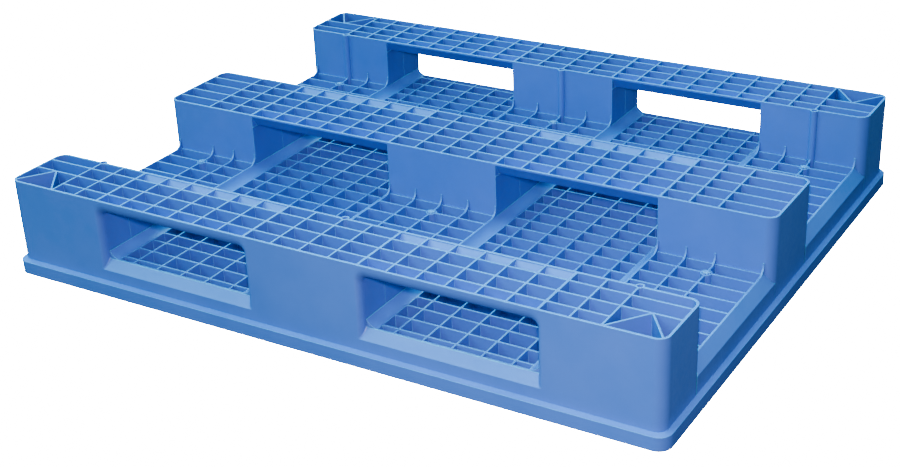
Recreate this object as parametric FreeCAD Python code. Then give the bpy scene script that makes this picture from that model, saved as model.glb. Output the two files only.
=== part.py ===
import FreeCAD, Part

import math
import os

# Plastic pallet with three runners, standing on its load face with the runners up.
# Millimetres.  X runs along the runners, Y from the front runner to the rear runner,
# Z from the load face up to the runner feet.  The origin is the centre of the load face.

V = FreeCAD.Vector

# ---- driving dimensions -------------------------------------------------------------
LENGTH = 1200.0
WIDTH = 1000.0
HEIGHT = 170.0

SKIRT_PROUD = 8.0           # how far the deck edge stands outside the runner walls
LEDGE_Z = 26.0              # joint level between the load deck tray and all above it
LEDGE_DROP = 3.3            # fall of the ledge towards the outside
SKIRT_CORNER_R = 22.0
SHEET = 3.5                 # thickness of the load face
SKIRT_WALL = 4.0
LEDGE_FLANGE = 2.0          # ledge material inside the line of the runner walls

WALL = 4.0                  # outer walls of the runners
RIB = 3.0                   # ribs inside the runners and the deck
FIT = 0.3                   # clearance between a leg and its socket in the deck

OUTER_RUNNER_WIDTH = 126.0
MIDDLE_RUNNER_WIDTH = 166.0
RUNNER_CORNER_R = 18.0
OUTER_ROW = 34.0            # rib spacing across an outer runner
MIDDLE_ROW = 33.4           # rib spacing across the middle runner
BEAM_BOTTOM_Z = 148.0       # underside of the runner over a fork opening
BEAM_FLOOR = 3.5            # closed cells along both edges of a beam

CENTRE_PITCH = 52.4         # cross rib spacing in the centre block
FORK_PITCH = 49.4           # cross rib spacing over a fork opening
END_PITCH = 48.3            # cross rib spacing in an end block
CENTRE_CELLS = 2            # cells from the centre line to the fork opening
FORK_CELLS = 6              # cells over one fork opening
END_CELLS = 2               # short cells beyond the fork opening

FORK_DECK_Z = 62.0          # top of the deck ribs in a fork opening
BLOCK_DECK_Z = 75.0         # top of the deck ribs between the blocks
BAND_RUN = 16.0             # width of the ramp between the two deck levels
BAND_SAG = 2.2              # hollow of that ramp
RIM_Z = 55.0                # outer edge of the deck end rim
RIM_RUN = 14.0              # width of the ramp behind that edge
CHANNEL_ROWS = 8            # deck cells across the channel between two runners

SILL_Z = 45.0               # outer lower edge of a fork opening
SILL_RUN = 12.5             # depth of the sloping sill
OPENING_TOP_Z = 167.0       # outer upper edge of a fork opening
MOUTH_FLARE = 9.0           # widening of an outer mouth at the face
MOUTH_CORNER_R = 12.0       # upper corners of an outer mouth, inside the flare
MOUTH_FOOT_R = 3.0          # ends of the sloping sill
MOUTH_STEPS = (0.0, 0.03, 0.1, 0.22, 0.4, 0.65, 1.0)    # sections of the flare, by depth
MOUTH_BACKING = 4.0         # thickened wall corners behind the flare
MOUTH_BACKING_TOP_Z = 160.0
TUNNEL_CORNER_R = 5.0

SHALLOW_EDGE_Z = 168.0      # top of the sloping floor in a beam edge cell beside a channel
DEEP_EDGE_Z = 156.0         # the same on the outer side of an outer runner
VEE_APEX = 0.52             # where the slanting corner ribs meet, as a share of the end cell
RAMP_PLATE = 5.0            # upright thickness of the ramps in the deck

FIN_HEIGHT = 18.0           # curved fins at the foot of the blocks
FIN_REACH = 15.0

BOSS_R = 9.5                # ring bosses in the deck
BOSS_WALL = 2.5
BOSS_WEB_Z = 73.0           # seat of the rivet rosette
BOSS_WEB = 3.0
RIVET_R = 4.0
RIVET_HEAD_R = 10.0
RIVET_HEAD = 2.5
RIVET_HEAD_TAPER = 1.0
RIVET_STAND = 4.0           # shank standing above its seat
PETALS = 6                  # lobes of the melted rivet end
PETAL_R = 2.0
PETAL_RING_R = 4.6
PETAL_HEIGHT = 3.5

PILASTER_R = 7.0            # half round posts on the inner walls of the outer runners
PIN_R = 4.0
PIN_FOOT_Z = 8.0
PIN_TOP_Z = 164.0
PIN_CHAMFER = 1.0
PIN_BOSS_R = 9.0            # round seat of a pin in the tray

TUBE = 22.0                 # square steel tubes in the load deck
TUBE_WALL = 1.5
TUBE_LENGTH = 1150.0
TUBE_CORNER_R = 2.5

PAD_R = 15.0                # rubber pads in the load face
PAD_HEAD = 2.0
PAD_STEM_R = 6.0
PAD_TAIL_R = 7.0
PAD_TIP_R = 5.0
PAD_STEM = 9.0
PAD_X = 444.0
PAD_OUTER_Y = 390.0
PAD_INNER_Y = 150.0

BORE_PLAY = 0.3             # radial play of rivets, pins and pads

# ---- positions worked out from them ---------------------------------------------------
FACE_X = LENGTH / 2 - SKIRT_PROUD
FACE_Y = WIDTH / 2 - SKIRT_PROUD
OUTER_RUNNER_Y = FACE_Y - OUTER_RUNNER_WIDTH / 2
INNER_WALL_Y = FACE_Y - OUTER_RUNNER_WIDTH
MIDDLE_WALL_Y = MIDDLE_RUNNER_WIDTH / 2
CHANNEL_PITCH = (INNER_WALL_Y - MIDDLE_WALL_Y) / CHANNEL_ROWS
FORK_START_X = CENTRE_CELLS * CENTRE_PITCH
FORK_END_X = FORK_START_X + FORK_CELLS * FORK_PITCH
LAST_RIB_X = FORK_END_X + END_CELLS * END_PITCH
TUNNEL_X0 = FORK_START_X + WALL / 2
TUNNEL_X1 = FORK_END_X - WALL / 2
RIB_COUNT = CENTRE_CELLS + FORK_CELLS + END_CELLS


def cross_rib_x(index):
    """X of cross rib number index, counted outwards from the middle of the pallet."""
    side = -1 if index < 0 else 1
    steps = abs(index)
    centre = min(steps, CENTRE_CELLS)
    fork = min(max(steps - CENTRE_CELLS, 0), FORK_CELLS)
    end = max(steps - CENTRE_CELLS - FORK_CELLS, 0)
    return side * (centre * CENTRE_PITCH + fork * FORK_PITCH + end * END_PITCH)


# ---- plain shapes ---------------------------------------------------------------------
def box(x0, x1, y0, y1, z0, z1):
    """Block between two corners."""
    return Part.makeBox(x1 - x0, y1 - y0, z1 - z0, V(x0, y0, z0))


def upright(x, y, radius, z0, z1):
    """Vertical cylinder."""
    return Part.makeCylinder(radius, z1 - z0, V(x, y, z0))


def prism_along_x(section, x0, x1):
    """Section given as (y, z) points, drawn out from x0 to x1."""
    points = [V(x0, y, z) for y, z in section]
    face = Part.Face(Part.makePolygon(points + points[:1]))
    return face.extrude(V(x1 - x0, 0, 0))


def prism_along_y(section, y0, y1):
    """Section given as (x, z) points, drawn out from y0 to y1."""
    points = [V(x, y0, z) for x, z in section]
    face = Part.Face(Part.makePolygon(points + points[:1]))
    return face.extrude(V(0, y1 - y0, 0))


def upright_prism(outline, z0, z1):
    """Outline given as (x, y) points, drawn up from z0 to z1."""
    points = [V(x, y, z0) for x, y in outline]
    face = Part.Face(Part.makePolygon(points + points[:1]))
    return face.extrude(V(0, 0, z1 - z0))


def rounded_block(half_x, y0, y1, radius, z0, z1):
    """Block centred on X with its four upright edges rounded."""
    block = box(-half_x, half_x, y0, y1, z0, z1)
    upright_edges = [e for e in block.Edges if abs(e.BoundBox.ZLength - (z1 - z0)) < 0.01]
    return block.makeFillet(radius, upright_edges)


def opening_wire(x0, x1, z0, z1, top_radius, foot_radius, y):
    """Rectangle with rounded upper and lower corners in a plane of constant Y."""
    share = 1 - math.sqrt(0.5)
    top_in = top_radius * share
    foot_in = foot_radius * share
    low_left = V(x0 + foot_in, y, z0 + foot_in)
    low_right = V(x1 - foot_in, y, z0 + foot_in)
    top_right = V(x1 - top_in, y, z1 - top_in)
    top_left = V(x0 + top_in, y, z1 - top_in)
    bottom = [V(x0 + foot_radius, y, z0), V(x1 - foot_radius, y, z0)]
    right = [V(x1, y, z0 + foot_radius), V(x1, y, z1 - top_radius)]
    top = [V(x1 - top_radius, y, z1), V(x0 + top_radius, y, z1)]
    left = [V(x0, y, z1 - top_radius), V(x0, y, z0 + foot_radius)]
    edges = [
        Part.makeLine(bottom[0], bottom[1]),
        Part.Arc(bottom[1], low_right, right[0]).toShape(),
        Part.makeLine(right[0], right[1]),
        Part.Arc(right[1], top_right, top[0]).toShape(),
        Part.makeLine(top[0], top[1]),
        Part.Arc(top[1], top_left, left[0]).toShape(),
        Part.makeLine(left[0], left[1]),
        Part.Arc(left[1], low_left, bottom[0]).toShape(),
    ]
    return Part.Wire(edges)


def cut_all(body, tools):
    """Take a list of separate tools out of a body."""
    return body.cut(Part.makeCompound(tools))


def fuse_all(shapes):
    """Join shapes into one and tidy the seams."""
    return shapes[0].multiFuse(shapes[1:]).removeSplitter()


def gaps(lines, rib):
    """Clear spans between neighbouring rib centre lines."""
    return [(a + rib / 2, b - rib / 2) for a, b in zip(lines, lines[1:])]


# ---- runners ----------------------------------------------------------------------------
def block_spans():
    """X ranges of the clear cells inside the three blocks of a runner, left to right."""
    ribs = [cross_rib_x(i) for i in range(-CENTRE_CELLS, CENTRE_CELLS + 1)]
    centre = gaps(ribs, RIB)
    centre[0] = (-FORK_START_X + WALL / 2, centre[0][1])
    centre[-1] = (centre[-1][0], FORK_START_X - WALL / 2)
    end_ribs = [cross_rib_x(CENTRE_CELLS + FORK_CELLS + i) for i in range(END_CELLS + 1)]
    right = gaps(end_ribs, RIB)
    right[0] = (FORK_END_X + WALL / 2, right[0][1])
    left = [(-b, -a) for a, b in reversed(right)]
    return left, centre, right


def fork_spans():
    """X ranges of the clear cells over the two fork openings."""
    ribs = [cross_rib_x(CENTRE_CELLS + i) for i in range(FORK_CELLS + 1)]
    right = gaps(ribs, RIB)
    right[0] = (FORK_START_X + WALL / 2, right[0][1])
    right[-1] = (right[-1][0], FORK_END_X - WALL / 2)
    left = [(-b, -a) for a, b in reversed(right)]
    return left + right


def end_cell_x():
    """Clear X range of the long cell at the right end of a runner."""
    return LAST_RIB_X + RIB / 2, FACE_X - WALL


def row_spans(half_width, row_lines):
    """Clear Y ranges between the walls and the long ribs of a runner."""
    rows = gaps(row_lines, RIB)
    first = (-half_width + WALL, row_lines[0] - RIB / 2)
    last = (row_lines[-1] + RIB / 2, half_width - WALL)
    return [first] + rows + [last]


def beam_edge_pocket(x0, x1, half_width, row_inner, side, edge_z):
    """Closed cell along one edge of a beam; its sloping floor meets the wall at edge_z."""
    wall_in = half_width - WALL
    floor_z = BEAM_BOTTOM_Z + BEAM_FLOOR
    slope_in = wall_in - SILL_RUN
    section = [
        (side * wall_in, HEIGHT + 1),
        (side * wall_in, edge_z),
        (side * slope_in, floor_z),
        (side * row_inner, floor_z),
        (side * row_inner, HEIGHT + 1),
    ]
    return prism_along_x(section, x0, x1)


def runner_pockets(half_width, row_lines, outer_side):
    """All open cells between the end cells; outer_side is the outside of the pallet, 0 for none."""
    rows = row_spans(half_width, row_lines)
    left, centre, right = block_spans()
    pockets = []
    for x0, x1 in left + centre + right:
        for y0, y1 in rows:
            pockets.append(box(x0, x1, y0, y1, LEDGE_Z - 1, HEIGHT + 1))
    for x0, x1 in fork_spans():
        for y0, y1 in rows[1:-1]:
            pockets.append(box(x0, x1, y0, y1, BEAM_BOTTOM_Z - 1, HEIGHT + 1))
        for side in (-1, 1):
            edge_z = DEEP_EDGE_Z if side == outer_side else SHALLOW_EDGE_Z
            pockets.append(beam_edge_pocket(x0, x1, half_width, rows[-1][0], side, edge_z))
    return pockets


def end_pocket(x0, x1, y0, y1, half_width, side):
    """Long cell at the end of a runner, following the rounded runner corner."""
    reach = box(x0, x1, y0, y1, LEDGE_Z - 1, HEIGHT + 1)
    inside = rounded_block(
        FACE_X - WALL,
        -half_width + WALL,
        half_width - WALL,
        RUNNER_CORNER_R - WALL,
        LEDGE_Z - 1,
        HEIGHT + 1,
    )
    if side < 0:
        reach = reach.mirror(V(0, 0, 0), V(1, 0, 0))
    return reach.common(inside)


def runner_tunnels(y0, y1):
    """Space of the two fork openings right through a runner between two Y planes."""
    tunnels = []
    for side in (-1, 1):
        x0, x1 = sorted((side * TUNNEL_X0, side * TUNNEL_X1))
        foot_z = LEDGE_Z - 2 * TUNNEL_CORNER_R
        wire = opening_wire(x0, x1, foot_z, BEAM_BOTTOM_Z, TUNNEL_CORNER_R, TUNNEL_CORNER_R, y0)
        tunnels.append(Part.Face(wire).extrude(V(0, y1 - y0, 0)))
    return tunnels


def beam_lead_in(face_y, side):
    """Slope under the outer edge of a beam that widens the opening upwards."""
    inner_y = face_y - side * SILL_RUN
    section = [
        (face_y + side, BEAM_BOTTOM_Z - 1),
        (face_y + side, OPENING_TOP_Z + 1),
        (face_y, OPENING_TOP_Z),
        (inner_y, BEAM_BOTTOM_Z),
        (inner_y, BEAM_BOTTOM_Z - 1),
    ]
    left = prism_along_x(section, -TUNNEL_X1, -TUNNEL_X0)
    right = prism_along_x(section, TUNNEL_X0, TUNNEL_X1)
    return [left, right]


def mouth_section(x0, x1, face_y, side, depth):
    """Outline of an outer mouth at a share of its depth; the flare bends round like a bell."""
    flare = 1 - math.sqrt(1 - (1 - depth) ** 2)
    return opening_wire(
        x0 - MOUTH_FLARE * flare,
        x1 + MOUTH_FLARE * flare,
        SILL_Z + (FORK_DECK_Z - SILL_Z) * depth,
        BEAM_BOTTOM_Z + (OPENING_TOP_Z - BEAM_BOTTOM_Z) * flare,
        MOUTH_CORNER_R + MOUTH_FLARE * flare,
        MOUTH_FOOT_R,
        face_y - side * SILL_RUN * depth,
    )


def flared_mouths(face_y, side):
    """Outer mouths of the two fork openings: wide at the face, narrow inside."""
    mouths = []
    for direction in (-1, 1):
        x0, x1 = sorted((direction * TUNNEL_X0, direction * TUNNEL_X1))
        sections = [mouth_section(x0, x1, face_y, side, depth) for depth in MOUTH_STEPS]
        mouths.append(Part.makeLoft(sections, True, True))
    return mouths


def mouth_posts(half_width, side):
    """Thickened corners inside the blocks, behind the flared sides of the mouths."""
    wall_in = half_width - WALL
    posts = []
    for direction in (-1, 1):
        for edge_x, outward in ((FORK_START_X - WALL / 2, -1), (FORK_END_X + WALL / 2, 1)):
            x = direction * edge_x
            outline = [
                (x, side * wall_in),
                (x + direction * outward * MOUTH_BACKING, side * wall_in),
                (x, side * (wall_in - MOUTH_BACKING)),
            ]
            posts.append(upright_prism(outline, LEDGE_Z, MOUTH_BACKING_TOP_Z))
    return posts


def sill_hollow(half_width, side):
    """Spaces under the two sloping sills."""
    outer = side * (half_width - WALL)
    inner = side * (half_width - SILL_RUN + RIB)
    section = [
        (outer, LEDGE_Z - 1),
        (outer, SILL_Z - RIB),
        (inner, FORK_DECK_Z - 2 * WALL),
        (inner, LEDGE_Z - 1),
    ]
    left = prism_along_x(section, -TUNNEL_X1, -TUNNEL_X0)
    right = prism_along_x(section, TUNNEL_X0, TUNNEL_X1)
    return [left, right]


def corner_vee(half_width, side_y, side_x):
    """Two slanting ribs that stiffen an outer corner of the pallet."""
    x0, x1 = end_cell_x()
    apex = V(x0 + VEE_APEX * (x1 - x0), 0, 0)
    corner_in = RUNNER_CORNER_R - (RUNNER_CORNER_R - WALL / 2) * math.sqrt(0.5)
    wall_foot = V(x0, half_width - WALL / 2, 0)
    corner_foot = V(FACE_X - corner_in, half_width - corner_in, 0)
    legs = []
    for foot in (wall_foot, corner_foot):
        run = foot.sub(apex)
        across = V(-run.y, run.x, 0).normalize().multiply(RIB / 2)
        outline = [apex.add(across), foot.add(across), foot.sub(across), apex.sub(across)]
        corners = [(side_x * p.x, side_y * p.y) for p in outline]
        legs.append(upright_prism(corners, LEDGE_Z, HEIGHT))
    return legs


def outer_runner(side):
    """Outer runner: side -1 is the front one, side 1 the rear one."""
    half = OUTER_RUNNER_WIDTH / 2
    row_lines = [-OUTER_ROW, 0.0, OUTER_ROW]
    rows = row_spans(half, row_lines)
    body = rounded_block(FACE_X, -half, half, RUNNER_CORNER_R, LEDGE_Z, HEIGHT)
    pockets = runner_pockets(half, row_lines, side)
    x0, x1 = end_cell_x()
    for direction in (-1, 1):
        for row in rows:
            if side * (row[0] + row[1]) < 0:
                pockets.append(end_pocket(x0, x1, row[0], row[1], half, direction))
        y0, y1 = sorted((side * RIB / 2, side * (half - WALL)))
        pockets.append(end_pocket(x0, x1, y0, y1, half, direction))
    body = cut_all(body, pockets)
    extras = mouth_posts(half, side)
    for direction in (-1, 1):
        extras += corner_vee(half, side, direction)
    inner_wall = -side * half
    for index in (-RIB_COUNT, 0, RIB_COUNT):
        extras.append(upright(cross_rib_x(index), inner_wall, PILASTER_R, LEDGE_Z, HEIGHT))
    body = body.multiFuse(extras)
    sill_in = side * (half - SILL_RUN)
    y0, y1 = sorted((sill_in, inner_wall - side))
    tools = runner_tunnels(y0, y1)
    body = cut_all(body, tools)
    body = cut_all(body, flared_mouths(side * half, side))
    body = cut_all(body, beam_lead_in(inner_wall, -side))
    body = cut_all(body, sill_hollow(half, side))
    bores = []
    for index in (-RIB_COUNT, 0, RIB_COUNT):
        bore_r = PIN_R + BORE_PLAY
        bores.append(upright(cross_rib_x(index), inner_wall, bore_r, LEDGE_Z - 1, HEIGHT + 1))
    body = cut_all(body, bores)
    body.translate(V(0, side * OUTER_RUNNER_Y, 0))
    return body


def middle_runner():
    """Middle runner, open to a channel on both sides."""
    half = MIDDLE_RUNNER_WIDTH / 2
    row_lines = [(i - 1.5) * MIDDLE_ROW for i in range(4)]
    body = rounded_block(FACE_X, -half, half, RUNNER_CORNER_R, LEDGE_Z, HEIGHT)
    pockets = runner_pockets(half, row_lines, 0)
    x0, x1 = end_cell_x()
    for direction in (-1, 1):
        for row in row_spans(half, row_lines):
            pockets.append(end_pocket(x0, x1, row[0], row[1], half, direction))
    body = cut_all(body, pockets)
    body = cut_all(body, runner_tunnels(-half - 1, half + 1))
    body = cut_all(body, beam_lead_in(half, 1))
    body = cut_all(body, beam_lead_in(-half, -1))
    return body


# ---- deck rib grid ------------------------------------------------------------------------
def fork_hollow(x0, x1, end_y):
    """Space above the deck of a fork way, with a hollow ramp up to each side."""
    low0 = x0 + BAND_RUN
    low1 = x1 - BAND_RUN
    drop = BLOCK_DECK_Z - FORK_DECK_Z
    ramp = math.hypot(BAND_RUN, drop)
    inset = BAND_RUN / 2 - BAND_SAG * drop / ramp
    middle_z = FORK_DECK_Z + drop / 2 - BAND_SAG * BAND_RUN / ramp
    y = -end_y - 1
    corners = [
        V(x0, y, BLOCK_DECK_Z),
        V(low0, y, FORK_DECK_Z),
        V(low1, y, FORK_DECK_Z),
        V(x1, y, BLOCK_DECK_Z),
    ]
    edges = [
        Part.Arc(corners[0], V(x0 + inset, y, middle_z), corners[1]).toShape(),
        Part.makeLine(corners[1], corners[2]),
        Part.Arc(corners[2], V(x1 - inset, y, middle_z), corners[3]).toShape(),
        Part.makePolygon([corners[3], V(x1, y, HEIGHT), V(x0, y, HEIGHT), corners[0]]),
    ]
    wire = Part.Wire([e for shape in edges for e in shape.Edges])
    return Part.Face(wire).extrude(V(0, 2 * (end_y + 1), 0))


def fork_strip():
    """Deck under and between the fork openings on the right half of the pallet."""
    x0 = TUNNEL_X0 + FIT
    x1 = TUNNEL_X1 - FIT
    end_y = FACE_Y - SILL_RUN - FIT
    strip = box(x0, x1, -end_y, end_y, LEDGE_Z, BLOCK_DECK_Z)
    strip = strip.cut(fork_hollow(x0, x1, end_y))
    x_lines = [x0 + BAND_RUN + RIB / 2]
    x_lines += [cross_rib_x(CENTRE_CELLS + i) for i in range(1, FORK_CELLS)]
    x_lines += [x1 - BAND_RUN - RIB / 2]
    rows = gaps(deck_row_lines(end_y), RIB)
    cells = []
    for a, b in gaps(x_lines, RIB):
        for y0, y1 in rows:
            cells.append(box(a, b, y0, y1, LEDGE_Z - 1, FORK_DECK_Z + 1))
    left = [
        (x0 + RIB, LEDGE_Z - 1),
        (x0 + RIB, BLOCK_DECK_Z - RAMP_PLATE - RIB),
        (x0 + BAND_RUN - RIB / 2, FORK_DECK_Z - RAMP_PLATE),
        (x0 + BAND_RUN - RIB / 2, LEDGE_Z - 1),
    ]
    right = [(x0 + x1 - x, z) for x, z in left]
    for section in (left, right):
        for y0, y1 in rows:
            cells.append(prism_along_y(section, y0, y1))
    return cut_all(strip, cells)


def deck_row_lines(end_y):
    """Y of every long deck rib along a fork strip, from the front to the rear."""
    half = [i * MIDDLE_ROW + MIDDLE_ROW / 2 for i in range(2)]
    half += [MIDDLE_WALL_Y + i * CHANNEL_PITCH for i in range(CHANNEL_ROWS + 1)]
    half += [OUTER_RUNNER_Y + i * OUTER_ROW for i in (-1, 0, 1)]
    half += [end_y - RIB / 2]
    return [-y for y in reversed(half)] + half


def block_patch(x0, x1, x_lines, rim):
    """Deck between two blocks, from the middle runner to the rear runner."""
    low = MIDDLE_WALL_Y + FIT
    high = INNER_WALL_Y - FIT
    reach = RUNNER_CORNER_R if rim else 0.0
    if rim:
        section = [
            (x0, LEDGE_Z),
            (x0, BLOCK_DECK_Z),
            (FACE_X - RIM_RUN, BLOCK_DECK_Z),
            (FACE_X, RIM_Z),
            (FACE_X, LEDGE_Z),
        ]
    else:
        section = [(x0, LEDGE_Z), (x0, BLOCK_DECK_Z), (x1, BLOCK_DECK_Z), (x1, LEDGE_Z)]
    patch = prism_along_y(section, low - reach, high + reach)
    y_lines = [low + RIB / 2]
    y_lines += [MIDDLE_WALL_Y + i * CHANNEL_PITCH for i in range(1, CHANNEL_ROWS)]
    y_lines += [high - RIB / 2]
    rows = gaps(y_lines, RIB)
    cells = []
    for a, b in gaps(x_lines, RIB):
        for y0, y1 in rows:
            cells.append(box(a, b, y0, y1, LEDGE_Z - 1, BLOCK_DECK_Z + 1))
    if rim:
        inner = x_lines[-1] + RIB / 2
        hollow = [
            (inner, LEDGE_Z - 1),
            (inner, BLOCK_DECK_Z - 2 * WALL),
            (FACE_X - WALL, RIM_Z - WALL),
            (FACE_X - WALL, LEDGE_Z - 1),
        ]
        for y0, y1 in rows:
            cells.append(prism_along_y(hollow, y0, y1))
        cells.append(runner_footprint(0.0, MIDDLE_RUNNER_WIDTH / 2))
        cells.append(runner_footprint(OUTER_RUNNER_Y, OUTER_RUNNER_WIDTH / 2))
    return cut_all(patch, cells)


def runner_footprint(centre_y, half_width):
    """Room for one runner, with its clearance."""
    return rounded_block(
        FACE_X + FIT,
        centre_y - half_width - FIT,
        centre_y + half_width + FIT,
        RUNNER_CORNER_R + FIT,
        LEDGE_Z - 1,
        HEIGHT,
    )


def fin(x, wall_y, side):
    """Curved fin on a deck rib, leaning on the wall of a block."""
    x0 = x - RIB / 2
    base = BLOCK_DECK_Z - RIB
    foot_y = wall_y + side * FIT
    tip = V(x0, wall_y + side * RIB / 2, BLOCK_DECK_Z + FIN_HEIGHT)
    toe = V(x0, wall_y + side * FIN_REACH, BLOCK_DECK_Z)
    share = 1 - math.sqrt(0.5)
    waist_y = tip.y + (toe.y - tip.y) * share
    waist = V(x0, waist_y, BLOCK_DECK_Z + FIN_HEIGHT * share)
    back = [toe, V(x0, toe.y, base), V(x0, foot_y, base), V(x0, foot_y, tip.z), tip]
    edges = Part.makePolygon(back).Edges + [Part.Arc(tip, waist, toe).toShape()]
    return Part.Face(Part.Wire(edges)).extrude(V(RIB, 0, 0))


def patch_fins(x_lines):
    """Fins along both blocks that face one patch of the rear channel."""
    fins = []
    for x in x_lines:
        fins.append(fin(x, MIDDLE_WALL_Y, 1))
        fins.append(fin(x, INNER_WALL_Y, -1))
    return fins


def boss_places():
    """Centres of the twelve ring bosses."""
    rows = (MIDDLE_WALL_Y + CHANNEL_PITCH, INNER_WALL_Y - CHANNEL_PITCH)
    places = []
    for index in (-RIB_COUNT, 0, RIB_COUNT):
        for y in rows:
            places.append((cross_rib_x(index), y))
            places.append((cross_rib_x(index), -y))
    return places


def deck_rib_grid():
    """Open grid of deck ribs with the sockets for the nine blocks."""
    strip = fork_strip()
    centre_lines = [cross_rib_x(i) for i in range(-CENTRE_CELLS, CENTRE_CELLS + 1)]
    edge = TUNNEL_X0 + FIT
    centre_cut = [-edge + RIB / 2] + centre_lines[1:-1] + [edge - RIB / 2]
    centre = block_patch(-edge, edge, centre_cut, False)
    right_edge = TUNNEL_X1 - FIT
    end_lines = [right_edge + RIB / 2]
    end_lines += [cross_rib_x(CENTRE_CELLS + FORK_CELLS + i) for i in (1, 2)]
    end_lines += [FACE_X - RIM_RUN - RIB / 2]
    right = block_patch(right_edge, FACE_X, end_lines, True)
    rear = [centre] + patch_fins(centre_cut)
    right_all = [right] + patch_fins(end_lines)
    across = V(1, 0, 0)
    left_all = [s.mirror(V(0, 0, 0), across) for s in right_all]
    rear += right_all + left_all
    front = [s.mirror(V(0, 0, 0), V(0, 1, 0)) for s in rear]
    strips = [strip, strip.mirror(V(0, 0, 0), across)]
    bosses = [upright(x, y, BOSS_R, LEDGE_Z, BLOCK_DECK_Z) for x, y in boss_places()]
    grid = fuse_all(strips + rear + front + bosses)
    bores = []
    for x, y in boss_places():
        inner = BOSS_R - BOSS_WALL
        bores.append(upright(x, y, inner, LEDGE_Z - 1, BOSS_WEB_Z - BOSS_WEB))
        bores.append(upright(x, y, inner, BOSS_WEB_Z, BLOCK_DECK_Z + 1))
        bores.append(upright(x, y, RIVET_R + BORE_PLAY, LEDGE_Z - 1, BLOCK_DECK_Z + 1))
    grid = cut_all(grid, bores)
    posts = []
    for x, y in pin_places():
        posts.append(upright(x, y, PILASTER_R + FIT, LEDGE_Z - 1, HEIGHT))
    return cut_all(grid, posts)


# ---- load deck tray -----------------------------------------------------------------------
def pin_places():
    """Centres of the six runner lock pins."""
    places = []
    for index in (-RIB_COUNT, 0, RIB_COUNT):
        for side in (-1, 1):
            places.append((cross_rib_x(index), side * INNER_WALL_Y))
    return places


def tube_rows():
    """Y of the five steel tubes, from the front to the rear."""
    channel = (INNER_WALL_Y + MIDDLE_WALL_Y) / 2
    return [-OUTER_RUNNER_Y, -channel, 0.0, channel, OUTER_RUNNER_Y]


def pad_places():
    """Centres of the eight rubber pads, named from the front left corner."""
    places = {}
    columns = {"left": -PAD_X, "right": PAD_X}
    rows = {
        "front": -PAD_OUTER_Y,
        "front_inner": -PAD_INNER_Y,
        "rear_inner": PAD_INNER_Y,
        "rear": PAD_OUTER_Y,
    }
    for row, y in rows.items():
        for column, x in columns.items():
            places[row + "_" + column] = (x, y)
    return places


def tray_shell():
    """Load face with its upstanding skirt and sloping ledge."""
    shell = rounded_block(LENGTH / 2, -WIDTH / 2, WIDTH / 2, SKIRT_CORNER_R, 0, LEDGE_Z)
    rim_edges = [e for e in shell.Edges if e.BoundBox.ZMin > LEDGE_Z - 0.01]
    return shell.makeChamfer(LEDGE_DROP, SKIRT_PROUD, rim_edges)


def tray_pocket():
    """Open inside of the tray, leaving the sheet, the skirt and the ledge flange."""
    flange_x = FACE_X - WALL - LEDGE_FLANGE
    flange_y = FACE_Y - WALL - LEDGE_FLANGE
    corner = SKIRT_CORNER_R - SKIRT_PROUD
    mouth = rounded_block(flange_x, -flange_y, flange_y, corner, SHEET, LEDGE_Z + 1)
    wide = LENGTH / 2 - SKIRT_WALL
    deep = WIDTH / 2 - SKIRT_WALL
    roof = LEDGE_Z - LEDGE_DROP - SHEET
    under = rounded_block(wide, -deep, deep, SKIRT_CORNER_R - SKIRT_WALL, SHEET, roof)
    return mouth.fuse(under)


def tray_ribs():
    """Low ribs of the tray under the runner walls, the blocks and the channels."""
    flange_x = FACE_X - WALL
    flange_y = FACE_Y - WALL
    long_lines = [MIDDLE_WALL_Y, INNER_WALL_Y]
    for y in tube_rows()[2:]:
        long_lines += [y + TUBE / 2 + FIT + RIB / 2]
        long_lines += [y - TUBE / 2 - FIT - RIB / 2]
    cross_lines = [FORK_START_X, FORK_END_X, LAST_RIB_X, (FORK_START_X + FORK_END_X) / 2]
    ribs = [box(-RIB / 2, RIB / 2, -flange_y, flange_y, 0, LEDGE_Z)]
    for y in sorted(set(long_lines + [-y for y in long_lines])):
        ribs.append(box(-flange_x, flange_x, y - RIB / 2, y + RIB / 2, 0, LEDGE_Z))
    for x in cross_lines + [-x for x in cross_lines]:
        ribs.append(box(x - RIB / 2, x + RIB / 2, -flange_y, flange_y, 0, LEDGE_Z))
    return ribs


def load_deck_tray():
    """Closed load face, its skirt and the seats for tubes, rivets, pins and pads."""
    shell = tray_shell().cut(tray_pocket())
    solids = [shell] + tray_ribs()
    for x, y in boss_places():
        solids.append(upright(x, y, BOSS_R, 0, LEDGE_Z))
    for x, y in pin_places():
        solids.append(upright(x, y, PIN_BOSS_R, 0, LEDGE_Z))
    for x, y in pad_places().values():
        solids.append(upright(x, y, PAD_R + RIB, 0, PAD_HEAD + SHEET))
    tray = solids[0].multiFuse(solids[1:])
    cuts = []
    half = TUBE / 2 + FIT
    reach = TUBE_LENGTH / 2 + FIT
    for y in tube_rows():
        cuts.append(box(-reach, reach, y - half, y + half, SHEET, LEDGE_Z + 1))
    for x, y in boss_places():
        cuts.append(upright(x, y, RIVET_HEAD_R + BORE_PLAY, -1, RIVET_HEAD))
        cuts.append(upright(x, y, RIVET_R + BORE_PLAY, -1, LEDGE_Z + 1))
    for x, y in pin_places():
        cuts.append(upright(x, y, PIN_R + BORE_PLAY, PIN_FOOT_Z, LEDGE_Z + 1))
    for x, y in pad_places().values():
        cuts.append(upright(x, y, PAD_R + BORE_PLAY, -1, PAD_HEAD))
        cuts.append(upright(x, y, PAD_STEM_R + BORE_PLAY, -1, LEDGE_Z + 1))
    return cut_all(tray, cuts)


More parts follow.
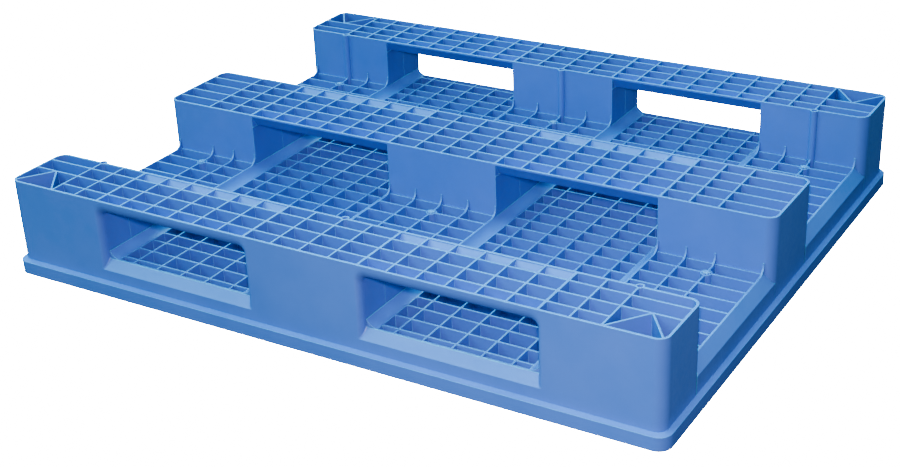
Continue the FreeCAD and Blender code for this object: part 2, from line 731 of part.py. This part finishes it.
# ---- small pieces ---------------------------------------------------------------------------
def steel_tube(y):
    """Square reinforcing tube lying on the load face between two tray ribs."""
    half = TUBE_LENGTH / 2
    z0 = SHEET
    z1 = SHEET + TUBE
    tube = box(-half, half, y - TUBE / 2, y + TUBE / 2, z0, z1)
    long_edges = [e for e in tube.Edges if e.BoundBox.XLength > TUBE_LENGTH - 1]
    tube = tube.makeFillet(TUBE_CORNER_R, long_edges)
    inside = TUBE / 2 - TUBE_WALL
    bore = box(-half - 1, half + 1, y - inside, y + inside, z0 + TUBE_WALL, z1 - TUBE_WALL)
    return tube.cut(bore)


def deck_rivet(x, y):
    """Plastic rivet through tray and grid, its tail melted into a rosette."""
    head_top_r = RIVET_HEAD_R - RIVET_HEAD_TAPER
    head = Part.makeCone(RIVET_HEAD_R, head_top_r, RIVET_HEAD, V(x, y, 0))
    pieces = [upright(x, y, RIVET_R, 0, BOSS_WEB_Z + RIVET_STAND)]
    for i in range(PETALS):
        angle = 2 * math.pi * i / PETALS
        px = x + PETAL_RING_R * math.cos(angle)
        py = y + PETAL_RING_R * math.sin(angle)
        pieces.append(upright(px, py, PETAL_R, BOSS_WEB_Z, BOSS_WEB_Z + PETAL_HEIGHT))
    return head.multiFuse(pieces)


def lock_pin(x, y):
    """Drive pin down the post of an outer runner into the tray."""
    pin = upright(x, y, PIN_R, PIN_FOOT_Z, PIN_TOP_Z)
    ends = [e for e in pin.Edges if abs(e.Length - 2 * math.pi * PIN_R) < 0.1]
    return pin.makeChamfer(PIN_CHAMFER, ends)


def rubber_pad(x, y):
    """Rubber pad set flush in the load face, held by a swollen tail."""
    head = upright(x, y, PAD_R, 0, PAD_HEAD)
    stem = upright(x, y, PAD_STEM_R, 0, PAD_STEM)
    top = PAD_HEAD + SHEET
    tail = Part.makeCone(PAD_TAIL_R, PAD_TIP_R, PAD_STEM - top, V(x, y, top))
    return head.multiFuse([stem, tail])


# ---- hand out the pieces ----------------------------------------------------------------------
def all_pieces():
    """Every named piece of the pallet."""
    pieces = {
        "load_deck_tray": load_deck_tray(),
        "deck_rib_grid": deck_rib_grid(),
        "front_runner": outer_runner(-1),
        "middle_runner": middle_runner(),
        "rear_runner": outer_runner(1),
    }
    names = ("front", "front_channel", "middle", "rear_channel", "rear")
    for name, y in zip(names, tube_rows()):
        pieces["steel_tube_" + name] = steel_tube(y)
    rivets = [deck_rivet(x, y) for x, y in boss_places()]
    pieces["deck_rivets"] = Part.makeCompound(rivets)
    front_pins = [lock_pin(x, y) for x, y in pin_places() if y < 0]
    rear_pins = [lock_pin(x, y) for x, y in pin_places() if y > 0]
    pieces["front_runner_lock_pins"] = Part.makeCompound(front_pins)
    pieces["rear_runner_lock_pins"] = Part.makeCompound(rear_pins)
    for name, (x, y) in pad_places().items():
        pieces["rubber_pad_" + name] = rubber_pad(x, y)
    return pieces


os.makedirs("parts", exist_ok=True)
for node, shape in all_pieces().items():
    shape.exportStep("parts/" + node + ".step")
    volume = round(shape.Volume / 1000, 1)
    print(node, len(shape.Solids), "solids, valid", shape.isValid(), volume, "cm3")
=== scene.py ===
import math

import bpy
from mathutils import Matrix, Vector


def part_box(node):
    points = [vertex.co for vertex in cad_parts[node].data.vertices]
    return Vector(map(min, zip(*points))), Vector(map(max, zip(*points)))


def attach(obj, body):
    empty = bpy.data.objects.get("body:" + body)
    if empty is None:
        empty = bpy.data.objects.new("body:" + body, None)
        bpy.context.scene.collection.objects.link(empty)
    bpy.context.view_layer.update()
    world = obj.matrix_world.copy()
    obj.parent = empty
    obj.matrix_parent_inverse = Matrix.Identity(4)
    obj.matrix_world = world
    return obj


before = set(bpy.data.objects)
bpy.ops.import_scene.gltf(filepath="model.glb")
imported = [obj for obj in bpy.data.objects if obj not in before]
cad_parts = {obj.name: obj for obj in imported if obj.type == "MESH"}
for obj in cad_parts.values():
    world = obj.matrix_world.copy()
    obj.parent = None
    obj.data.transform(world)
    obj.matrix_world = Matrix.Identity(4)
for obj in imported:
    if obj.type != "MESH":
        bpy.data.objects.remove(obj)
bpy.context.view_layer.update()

# Metres.  X runs along the runners, Y from the front runner to the rear runner, Z up from the load face.

# ---- camera (its focal length is in pixels of an image IMAGE_WIDTH wide) -----------------
EYE = Vector((1.27292, -2.10370, 1.18330))
LOOK = Vector((-0.47544, 0.76267, -0.43851))
RIGHT = Vector((0.85795, 0.51223, -0.03933))
FOCAL_PIXELS = 1535.7
IMAGE_WIDTH = 900
SENSOR_MM = 36.0
CLIP_END = 100.0

# ---- studio -----------------------------------------------------------------------------
FLASH_POWER = 39.0
FLASH_SIZE = 0.12
FLASH_ABOVE_LENS = 0.12
FLASH_TARGET = (0.0, 0.0, 0.1)
FLASH_TINT = (1.0, 0.83, 0.83)
OVERHEAD_POWER = 1.5
OVERHEAD_DIRECTION = (0.0, 0.0, -1.0)
LEFT_FRONT_POWER = 1.6
LEFT_FRONT_DIRECTION = (0.5, 0.5, -0.71)
LEFT_BACK_POWER = 1.6
LEFT_BACK_DIRECTION = (0.5, -0.5, -0.71)
SOFT_TINT = (0.42, 1.0, 1.0)
SOFT_SPREAD = math.radians(45)
ROOM_POWER = 0.38
ROOM_TINT = (0.30, 0.70, 1.0)
FLOOR_GLOW = 20.0
FLOOR_BOUNCE = 0.08
FLOOR_SIZE = 40.0
FLOOR_WHITE = (0.95, 0.95, 0.95)
FLOOR_SHADE = (0.93, 0.935, 0.94)
FLOOR_ROUGHNESS = 0.9
FLOOR_SPECULAR = 0.1

# ---- edge wear on steel and rubber, painted edge highlight on plastic -------------------
EDGE_ROUND = 0.0012
EDGE_SAMPLES = 6
# cosines of the angle between the true and the softened normal
WEAR_AND_HIGHLIGHT_STARTS = 0.985
WEAR_AND_HIGHLIGHT_FULL = 0.75

# ---- noise (the part of its range that most values lie in) -------------------------------
NOISE_SPAN = (0.3, 0.7)
BROAD_SPAN = (0.35, 0.65)
# span of the patch noise that varies the painted edge highlight on plastic
HIGHLIGHT_PATCH_SPAN = (0.25, 0.6)

# ---- plastic ----------------------------------------------------------------------------
BODY_BLUE = (0.150, 0.243, 0.614)
BODY_BLUE_DEEP = (0.124, 0.220, 0.577)
# painted highlight: bright cyan put on the plastic's edges to stand for the rim of light on rib tops
EDGE_HIGHLIGHT_BLUE = (0.20, 0.74, 0.98)
RIVET_BLUE = (0.20, 0.36, 0.72)
RIVET_BLUE_DEEP = (0.16, 0.31, 0.66)
BROAD_SCALE = 5.0
# patches that vary the strength of the painted edge highlight
HIGHLIGHT_PATCH_SCALE = 60.0
HIGHLIGHT_PATCH_RANGE = (0.55, 0.95)
FLOW_SCALE = 9.0
FLOW_STRETCH = (1.0, 14.0, 14.0)
FLOW_DEPTH = 0.0002
GRAIN_SCALE = 900.0
GRAIN_DEPTH = 0.0001
PLASTIC_ROUGHNESS = (0.34, 0.44)

# ---- steel ------------------------------------------------------------------------------
ZINC_BRIGHT = (0.62, 0.64, 0.66)
ZINC_DULL = (0.46, 0.48, 0.50)
ZINC_EDGE = (0.72, 0.73, 0.74)
SPANGLE_SCALE = 120.0
DULL_PATCH_SCALE = 12.0
DULL_PATCH_DEPTH = 0.0002
STEEL_ROUGHNESS = (0.32, 0.55)

# ---- rubber -----------------------------------------------------------------------------
RUBBER_DARK = (0.10, 0.105, 0.11)
RUBBER_PALE = (0.17, 0.175, 0.18)
RUBBER_EDGE = (0.24, 0.245, 0.25)
SPECKLE_SCALE = 700.0
SPECKLE_DEPTH = 0.0002
DUST_SCALE = 40.0
RUBBER_ROUGHNESS = (0.7, 0.9)

# ---- small moulding marks ---------------------------------------------------------------
DECK_Z = 0.062
BLOCK_DECK_Z = 0.075
MARK_RADIUS = 0.0035
MARK_TAPER = 0.8
MARK_HEIGHT = 0.0008
MARK_SIDES = 16
# x and y of three rib crossings of the lower deck
DECK_MARKS = ((-0.3518, 0.0167), (-0.3024, 0.0167), (0.2530, 0.0167))
LINE_WIDTH = 0.0007
LINE_PROUD = 0.0004
LINE_TOP_Z = 0.143
# distance of the fork openings' side walls from the middle of the pallet
TUNNEL_WALLS = (0.1068, 0.3992)

# ---- nodes of the frame -----------------------------------------------------------------
RUNNERS = ["front_runner", "middle_runner", "rear_runner"]
PLASTIC_NODES = ["load_deck_tray", "deck_rib_grid"] + RUNNERS
RIVET_NODES = ["deck_rivets", "front_runner_lock_pins", "rear_runner_lock_pins"]
TUBE_NODES = [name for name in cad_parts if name.startswith("steel_tube")]
PAD_NODES = [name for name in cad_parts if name.startswith("rubber_pad")]


# ---- node helpers -----------------------------------------------------------------------
def new_material(name):
    """Empty node material with a Principled shader wired to the output."""
    material = bpy.data.materials.new(name)
    material.use_nodes = True
    tree = material.node_tree
    tree.nodes.clear()
    output = tree.nodes.new("ShaderNodeOutputMaterial")
    shader = tree.nodes.new("ShaderNodeBsdfPrincipled")
    tree.links.new(shader.outputs["BSDF"], output.inputs["Surface"])
    return material, tree, shader


def place_coordinates(tree, scale=(1.0, 1.0, 1.0)):
    """Coordinates fixed to the pallet, in metres, stretched by scale."""
    where = tree.nodes.new("ShaderNodeTexCoord")
    mapping = tree.nodes.new("ShaderNodeMapping")
    mapping.inputs["Scale"].default_value = scale
    tree.links.new(where.outputs["Object"], mapping.inputs["Vector"])
    return mapping.outputs["Vector"]


def noise(tree, vector, scale, detail=2.0, roughness=0.5):
    """Perlin noise around 0.5."""
    node = tree.nodes.new("ShaderNodeTexNoise")
    node.inputs["Scale"].default_value = scale
    node.inputs["Detail"].default_value = detail
    node.inputs["Roughness"].default_value = roughness
    tree.links.new(vector, node.inputs["Vector"])
    return node.outputs["Fac"]


def remap(tree, value, from_low, from_high, to_low, to_high):
    """Clamped linear remap of a value from one span to another."""
    node = tree.nodes.new("ShaderNodeMapRange")
    node.inputs["From Min"].default_value = from_low
    node.inputs["From Max"].default_value = from_high
    node.inputs["To Min"].default_value = to_low
    node.inputs["To Max"].default_value = to_high
    tree.links.new(value, node.inputs["Value"])
    return node.outputs["Result"]


def mix_colour(tree, factor, colour_a, colour_b):
    """Blend of two colours; each may be a tuple or a socket."""
    node = tree.nodes.new("ShaderNodeMix")
    node.data_type = "RGBA"
    tree.links.new(factor, node.inputs["Factor"])
    for name, colour in (("A", colour_a), ("B", colour_b)):
        socket = [s for s in node.inputs if s.name == name and s.type == "RGBA"][0]
        if isinstance(colour, tuple):
            socket.default_value = (*colour, 1.0)
        else:
            tree.links.new(colour, socket)
    return [s for s in node.outputs if s.type == "RGBA"][0]


def multiply(tree, first, second):
    """Product of two values, held between 0 and 1."""
    node = tree.nodes.new("ShaderNodeMath")
    node.operation = "MULTIPLY"
    node.use_clamp = True
    tree.links.new(first, node.inputs[0])
    tree.links.new(second, node.inputs[1])
    return node.outputs["Value"]


def bump(tree, height, distance, strength, normal):
    """Bump from a height value, on top of another normal."""
    node = tree.nodes.new("ShaderNodeBump")
    node.inputs["Distance"].default_value = distance
    node.inputs["Strength"].default_value = strength
    tree.links.new(height, node.inputs["Height"])
    tree.links.new(normal, node.inputs["Normal"])
    return node.outputs["Normal"]


# ---- materials --------------------------------------------------------------------------
def edge_finder(tree):
    """Normal softened over sharp edges, and a mask that is 1 on an edge and 0 on a flat.

    The mask compares a world normal with an object normal, so it needs an unturned object.
    """
    soft = tree.nodes.new("ShaderNodeBevel")
    soft.samples = EDGE_SAMPLES
    soft.inputs["Radius"].default_value = EDGE_ROUND
    where = tree.nodes.new("ShaderNodeTexCoord")
    dot = tree.nodes.new("ShaderNodeVectorMath")
    dot.operation = "DOT_PRODUCT"
    tree.links.new(soft.outputs["Normal"], dot.inputs[0])
    tree.links.new(where.outputs["Normal"], dot.inputs[1])
    # this mask lays painted highlight on plastic edges and paler wear on steel and rubber edges
    mask = remap(tree, dot.outputs["Value"], WEAR_AND_HIGHLIGHT_STARTS, WEAR_AND_HIGHLIGHT_FULL, 0.0, 1.0)
    return soft.outputs["Normal"], mask


def moulded_plastic(name, light, deep, edge_highlight):
    """Satin injection moulded polyethylene with a painted cyan highlight along its edges, in patches."""
    material, tree, shader = new_material(name)
    place = place_coordinates(tree)
    broad = noise(tree, place, BROAD_SCALE, 4.0, 0.6)
    colour = mix_colour(tree, remap(tree, broad, *BROAD_SPAN, 0.0, 1.0), deep, light)
    soft_normal, edge = edge_finder(tree)
    # painted highlight along the edges, patchy in strength
    highlight_patches = remap(tree, noise(tree, place, HIGHLIGHT_PATCH_SCALE, 3.0, 0.6), *HIGHLIGHT_PATCH_SPAN, *HIGHLIGHT_PATCH_RANGE)
    colour = mix_colour(tree, multiply(tree, edge, highlight_patches), colour, edge_highlight)
    tree.links.new(colour, shader.inputs["Base Color"])
    flow = noise(tree, place_coordinates(tree, FLOW_STRETCH), FLOW_SCALE, 3.0, 0.6)
    rough = remap(tree, flow, *NOISE_SPAN, *PLASTIC_ROUGHNESS)
    tree.links.new(rough, shader.inputs["Roughness"])
    ripple = bump(tree, flow, FLOW_DEPTH, 0.25, soft_normal)
    grain = noise(tree, place, GRAIN_SCALE)
    tree.links.new(bump(tree, grain, GRAIN_DEPTH, 0.3, ripple), shader.inputs["Normal"])
    return material


def galvanised_steel():
    """Hot dip galvanised tube with zinc spangle and dull patches."""
    material, tree, shader = new_material("galvanised_steel_spangle")
    place = place_coordinates(tree)
    spangle = tree.nodes.new("ShaderNodeTexVoronoi")
    spangle.inputs["Scale"].default_value = SPANGLE_SCALE
    tree.links.new(place, spangle.inputs["Vector"])
    tone = remap(tree, spangle.outputs["Distance"], 0.0, 0.8, 0.0, 1.0)
    colour = mix_colour(tree, tone, ZINC_BRIGHT, ZINC_DULL)
    soft_normal, edge = edge_finder(tree)
    colour = mix_colour(tree, edge, colour, ZINC_EDGE)
    tree.links.new(colour, shader.inputs["Base Color"])
    shader.inputs["Metallic"].default_value = 1.0
    dull = noise(tree, place, DULL_PATCH_SCALE, 4.0, 0.6)
    rough = remap(tree, dull, *NOISE_SPAN, *STEEL_ROUGHNESS)
    tree.links.new(rough, shader.inputs["Roughness"])
    tree.links.new(bump(tree, dull, DULL_PATCH_DEPTH, 0.3, soft_normal), shader.inputs["Normal"])
    return material


def grey_rubber():
    """Matt anti-slip rubber with a fine speckle."""
    material, tree, shader = new_material("grey_rubber_pads")
    place = place_coordinates(tree)
    speckle = noise(tree, place, SPECKLE_SCALE, 3.0, 0.6)
    colour = mix_colour(tree, speckle, RUBBER_DARK, RUBBER_PALE)
    soft_normal, edge = edge_finder(tree)
    colour = mix_colour(tree, edge, colour, RUBBER_EDGE)
    tree.links.new(colour, shader.inputs["Base Color"])
    dust = noise(tree, place, DUST_SCALE, 4.0, 0.6)
    rough = remap(tree, dust, *NOISE_SPAN, *RUBBER_ROUGHNESS)
    tree.links.new(rough, shader.inputs["Roughness"])
    tree.links.new(bump(tree, speckle, SPECKLE_DEPTH, 0.4, soft_normal), shader.inputs["Normal"])
    return material


def floor_material():
    """Plain pale floor: it glows for the camera and is dark grey to every other ray."""
    material, tree, shader = new_material("pale_floor")
    output = [n for n in tree.nodes if n.type == "OUTPUT_MATERIAL"][0]
    tone = noise(tree, place_coordinates(tree), 3.0, 3.0)
    colour = mix_colour(tree, tone, FLOOR_SHADE, FLOOR_WHITE)
    tree.links.new(colour, shader.inputs["Base Color"])
    shader.inputs["Roughness"].default_value = FLOOR_ROUGHNESS
    shader.inputs["Specular IOR Level"].default_value = FLOOR_SPECULAR
    shader.inputs["Emission Color"].default_value = (1.0, 1.0, 1.0, 1.0)
    shader.inputs["Emission Strength"].default_value = FLOOR_GLOW
    dark = tree.nodes.new("ShaderNodeBsdfDiffuse")
    dark.inputs["Color"].default_value = (FLOOR_BOUNCE, FLOOR_BOUNCE, FLOOR_BOUNCE, 1.0)
    rays = tree.nodes.new("ShaderNodeLightPath")
    choose = tree.nodes.new("ShaderNodeMixShader")
    tree.links.new(rays.outputs["Is Camera Ray"], choose.inputs["Fac"])
    tree.links.new(dark.outputs["BSDF"], choose.inputs[1])
    tree.links.new(shader.outputs["BSDF"], choose.inputs[2])
    tree.links.new(choose.outputs["Shader"], output.inputs["Surface"])
    return material


# ---- surfaces of the frame --------------------------------------------------------------
def dress(node_names, material):
    """Give CAD nodes their material."""
    for name in node_names:
        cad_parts[name].data.materials[0] = material


# ---- mesh pieces ------------------------------------------------------------------------
def add_mesh(name, corners, faces, material):
    """Mesh object in the scene, with its material."""
    mesh = bpy.data.meshes.new(name)
    mesh.from_pydata(corners, [], faces)
    mesh.materials.append(material)
    piece = bpy.data.objects.new(name, mesh)
    bpy.context.scene.collection.objects.link(piece)
    return piece


def add_piece(name, corners, faces, material):
    """Mesh object that rides on the pallet."""
    piece = add_mesh(name, corners, faces, material)
    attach(piece, "root")


def gate_mark(name, x, y, z, material):
    """Low round stub left by a moulding gate."""
    corners = []
    for height, radius in ((-MARK_HEIGHT, MARK_RADIUS), (MARK_HEIGHT, MARK_RADIUS * MARK_TAPER)):
        for i in range(MARK_SIDES):
            angle = 2 * math.pi * i / MARK_SIDES
            corners.append((x + radius * math.cos(angle), y + radius * math.sin(angle), z + height))
    ring = range(MARK_SIDES)
    faces = [(i, (i + 1) % MARK_SIDES, (i + 1) % MARK_SIDES + MARK_SIDES, i + MARK_SIDES) for i in ring]
    faces.append(tuple(reversed(ring)))
    faces.append(tuple(i + MARK_SIDES for i in ring))
    add_piece(name, corners, faces, material)


def parting_line(name, x, y, z0, z1, material):
    """Thin witness line of the mould down the side wall of a fork opening."""
    xs = (x - LINE_PROUD, x + LINE_PROUD)
    ys = (y - LINE_WIDTH / 2, y + LINE_WIDTH / 2)
    corners = [(a, b, c) for c in (z0, z1) for b in ys for a in xs]
    faces = [(0, 2, 3, 1), (4, 5, 7, 6), (0, 1, 5, 4), (2, 6, 7, 3), (0, 4, 6, 2), (1, 3, 7, 5)]
    add_piece(name, corners, faces, material)


def moulding_marks(material):
    """All gate marks and parting lines."""
    for number, (x, y) in enumerate(DECK_MARKS):
        gate_mark("gate_mark_%d" % number, x, y, DECK_Z, material)
    for runner in RUNNERS:
        low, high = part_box(runner)
        y = (low[1] + high[1]) / 2
        for wall in TUNNEL_WALLS:
            for side in (-1, 1):
                label = "parting_line_%s_%d_%d" % (runner, round(wall * 1000), side)
                parting_line(label, side * wall, y, BLOCK_DECK_Z, LINE_TOP_Z, material)


# ---- studio -----------------------------------------------------------------------------
def plane(name, size, z, material):
    """Square lying flat."""
    half = size / 2
    corners = [(-half, -half, z), (half, -half, z), (half, half, z), (-half, half, z)]
    return add_mesh(name, corners, [(0, 1, 2, 3)], material)


def area_light(name, place, target, size, power, colour):
    """Square light aimed at a point."""
    data = bpy.data.lights.new(name, "AREA")
    data.shape = "SQUARE"
    data.size = size
    data.energy = power
    data.color = colour
    lamp = bpy.data.objects.new(name, data)
    lamp.location = place
    lamp.rotation_mode = "QUATERNION"
    lamp.rotation_quaternion = (Vector(target) - Vector(place)).to_track_quat("-Z", "Y")
    bpy.context.scene.collection.objects.link(lamp)


def sun_light(name, direction, spread, power, colour):
    """Distant light with a wide spread, travelling along a direction."""
    data = bpy.data.lights.new(name, "SUN")
    data.angle = spread
    data.energy = power
    data.color = colour
    lamp = bpy.data.objects.new(name, data)
    lamp.rotation_mode = "QUATERNION"
    lamp.rotation_quaternion = Vector(direction).to_track_quat("-Z", "Y")
    bpy.context.scene.collection.objects.link(lamp)


def room_light(colour, strength):
    """Even light from all round."""
    world = bpy.data.worlds.new("studio")
    world.use_nodes = True
    background = world.node_tree.nodes["Background"]
    background.inputs["Color"].default_value = (*colour, 1.0)
    background.inputs["Strength"].default_value = strength
    bpy.context.scene.world = world


def camera():
    """Camera at EYE, looking along LOOK, with RIGHT to its right."""
    data = bpy.data.cameras.new("camera")
    data.sensor_width = SENSOR_MM
    data.lens = FOCAL_PIXELS * SENSOR_MM / IMAGE_WIDTH
    data.clip_end = CLIP_END
    eye = bpy.data.objects.new("camera", data)
    look = LOOK.normalized()
    right = (RIGHT - look * RIGHT.dot(look)).normalized()
    up = right.cross(look)
    turn = Matrix((right, up, -look)).transposed()
    eye.matrix_world = Matrix.Translation(EYE) @ turn.to_4x4()
    bpy.context.scene.collection.objects.link(eye)
    bpy.context.scene.camera = eye


# ---- build ------------------------------------------------------------------------------
blue = moulded_plastic("blue_polyethylene_moulded", BODY_BLUE, BODY_BLUE_DEEP, EDGE_HIGHLIGHT_BLUE)
dress(PLASTIC_NODES, blue)
dress(RIVET_NODES, moulded_plastic("rivet_plastic", RIVET_BLUE, RIVET_BLUE_DEEP, EDGE_HIGHLIGHT_BLUE))
dress(TUBE_NODES, galvanised_steel())
dress(PAD_NODES, grey_rubber())
moulding_marks(blue)

floor = plane("floor", FLOOR_SIZE, 0.0, floor_material())
camera()
flash_place = EYE + Vector((0.0, 0.0, FLASH_ABOVE_LENS))
area_light("flash", flash_place, FLASH_TARGET, FLASH_SIZE, FLASH_POWER, FLASH_TINT)
sun_light("overhead", OVERHEAD_DIRECTION, SOFT_SPREAD, OVERHEAD_POWER, SOFT_TINT)
sun_light("left_front", LEFT_FRONT_DIRECTION, SOFT_SPREAD, LEFT_FRONT_POWER, SOFT_TINT)
sun_light("left_back", LEFT_BACK_DIRECTION, SOFT_SPREAD, LEFT_BACK_POWER, SOFT_TINT)
room_light(ROOM_TINT, ROOM_POWER)
view = bpy.context.scene.view_settings
view.view_transform = "AgX"
view.look = "AgX - High Contrast"
